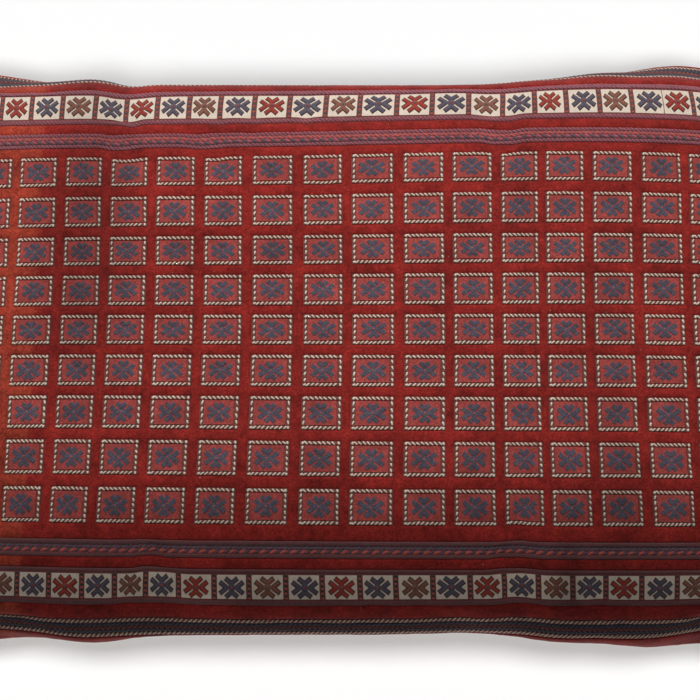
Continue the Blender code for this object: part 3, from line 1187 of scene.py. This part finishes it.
def add_lamp(scene, kind, name, place, aim, targets, settings):
    """A lamp that lights only some objects."""
    light = bpy.data.lights.new(name, kind)
    for key, value in settings.items():
        setattr(light, key, value)
    lamp = bpy.data.objects.new(name, light)
    lamp.location = place
    lamp.rotation_euler = direction_turn(aim)
    scene.collection.objects.link(lamp)
    lit = bpy.data.collections.new(name + "_lights")
    for target in targets:
        lit.objects.link(target)
    lamp.light_linking.receiver_collection = lit


def build_floor(scene):
    mesh = bpy.data.meshes.new("floor")
    corners = [(-1, -1), (1, -1), (1, 1), (-1, 1)]
    mesh.from_pydata([(FLOOR_REACH * x, FLOOR_REACH * y, 0.0) for x, y in corners], [], [(0, 1, 2, 3)])
    look = bpy.data.materials.new("pale_floor")
    look.use_nodes = True
    shader = look.node_tree.nodes["Principled BSDF"]
    shader.inputs["Base Color"].default_value = (FLOOR_GREY, FLOOR_GREY, FLOOR_GREY, 1.0)
    shader.inputs["Roughness"].default_value = 0.9
    mesh.materials.append(look)
    floor = bpy.data.objects.new("floor", mesh)
    scene.collection.objects.link(floor)
    return floor


def build_stage(scene, pieces):
    world = bpy.data.worlds.new("soft_room")
    scene.world = world
    world.use_nodes = True
    sky = world.node_tree.nodes["Background"]
    sky.inputs["Color"].default_value = (0.97, 0.98, 1.0, 1.0)
    sky.inputs["Strength"].default_value = ROOM_LIGHT
    floor = build_floor(scene)
    away = (0.0, math.sin(KEY_TURN), -math.cos(KEY_TURN))
    key = {
        "energy": KEY_POWER,
        "spot_size": KEY_CONE,
        "spot_blend": KEY_BLEND,
        "shadow_soft_size": KEY_RADIUS,
    }
    add_lamp(scene, "SPOT", "key", KEY_PLACE, away, pieces, key)
    for power, softness, turn in FLOOR_LIGHTS:
        down = (0.0, math.sin(turn), -math.cos(turn))
        sun = {"energy": power, "angle": softness}
        add_lamp(scene, "SUN", "floor_light", (0.0, 0.0, 3.0), down, [floor], sun)


def direction_turn(aim):
    """Turn that points a camera's or lamp's -Z along the aim."""
    return Vector(aim).to_track_quat("-Z", "Y").to_euler()


def build_camera(scene):
    """Straight above the face but for ten degrees, from the near long side."""
    data = bpy.data.cameras.new("photo_view")
    data.sensor_width = 36.0
    data.lens = CAMERA_LENS
    camera = bpy.data.objects.new("photo_view", data)
    rise = math.radians(CAMERA_ELEVATION)
    aim = np.array([0.0, math.cos(rise), -math.sin(rise)])
    camera.location = np.array(CAMERA_TARGET) - CAMERA_DISTANCE * aim
    camera.rotation_euler = direction_turn(aim)
    scene.collection.objects.link(camera)
    scene.camera = camera


def lay_out_rows(wraps, rng):
    """The wrapped rows and bands that run the full length of both borders."""
    for side, lean, colours, bright, between in (
        ("top", -SLANT, MAUVE_ROW, "salmon", "mauve"),
        ("bottom", SLANT, DUSKY_ROW, "salmon", "heather"),
    ):
        steep = math.copysign(STEEP_SLANT, lean)
        add_woven_row(wraps, side + "_outer_row", colours, steep, WRAP_PITCH, rng)
        add_woven_row(wraps, side + "_inner_row", colours, lean, WRAP_PITCH, rng)
        add_woven_row(wraps, side + "_inner_wraps", EDGE_BARBER, steep, BARBER_PITCH, rng)
        add_woven_row(wraps, side + "_edge_wraps", EDGE_BARBER, 1.2 * steep, BARBER_PITCH, rng)
        add_purple_band(wraps, side + "_purple", colours, bright, between, lean, rng)
        add_slate_band(wraps, side + "_slate", rng)


def lay_out_backings(woven):
    """Plain strips under the bands and under both rows of cells."""
    for names in WOVEN_STRIPS:
        backing = "slate_backing" if "wraps" in names[0] else "mauve_backing"
        add_strip(woven[backing], *band_span(*names), STRIP_HEIGHT)
    for band, *_ in FLOWER_BORDERS:
        add_strip(woven["ring_backing"], *band_span(band), CELL_BACKING_HEIGHT)


def build_cover(carry, rng):
    """Every piece of the woven face, laid out flat and carried onto the cloth, its pile ground first."""
    ground = Layout()
    woven = {name: Layout() for name, *_ in WOVEN_PIECES}
    petals = {colour: Layout() for colour in COLOUR_CYCLE}
    wraps = WrapRows()
    add_pile_ground(ground, rng)
    add_square_rings(wraps, woven["ring_backing"], woven["square_panels"], rng)
    add_field_rosettes(woven["field_rosettes"], wraps, rng)
    for border in FLOWER_BORDERS:
        add_flower_border(woven["border_cells"], woven["flower_outlines"], petals, wraps, border, rng)
    lay_out_backings(woven)
    lay_out_rows(wraps, rng)

    pieces = [build_piece("woven_ground", ground, carry, pile("red_pile", RED, WARM_RED, IVORY))]
    for name, wool, colour, contrast in WOVEN_PIECES:
        material = yarn(wool, colour, contrast)
        pieces.append(build_piece(name, woven[name], carry, material, FLAT_CREASE))
    for colour, (name, shade) in WRAP_COLOURS.items():
        layout = petals.get(colour, Layout())
        wraps.build(layout, colour)
        pieces.append(build_piece(name, layout, carry, yarn(name + "_wool", shade, WRAP_CONTRAST)))
    return pieces


def build_body(face, back, material):
    """The filled insert in its plain back cloth, one closed solid under the face."""
    top = face - outward(face) * (SHEET_DEPTH + 1.3) * MM
    rim = np.zeros(top.shape[:2], dtype=bool)
    rim[[0, -1], :] = True
    rim[:, [0, -1]] = True
    low = back.copy()
    low[rim] = top[rim] - [0.0, 0.0, SEAM_THICKNESS]
    points = np.concatenate([top.reshape(-1, 3), low.reshape(-1, 3)])
    flat = np.stack(cloth_grid(), axis=-1).reshape(-1, 2) / MM
    flat = np.concatenate([flat, flat])
    return new_mesh("plain_back", points, slab_faces(CELLS_LONG, CELLS_WIDE), flat, material)


def declare(pieces, body):
    """Hangs every piece and the back on the root, and hides the woven face and body of the solids."""
    for piece in pieces:
        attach(piece, "root")
    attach(body, "root")
    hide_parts("woven_face")
    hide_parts("cushion_body")


def main():
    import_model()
    scene = bpy.context.scene
    scene.view_settings.view_transform = "Standard"

    face, back = start_panels()
    face_move, back_move = relaxed(face, back)
    face = face + face_move
    back = back + back_move
    back[..., 2] = np.maximum(back[..., 2], 0.0)
    carry = OnCloth(face)
    rng = np.random.default_rng(7)

    pieces = build_cover(carry, rng)
    body = build_body(face, back, plain_weave("plain_back_cotton", BACK_TAUPE))
    declare(pieces, body)
    build_stage(scene, pieces + [body])
    build_camera(scene)


main()
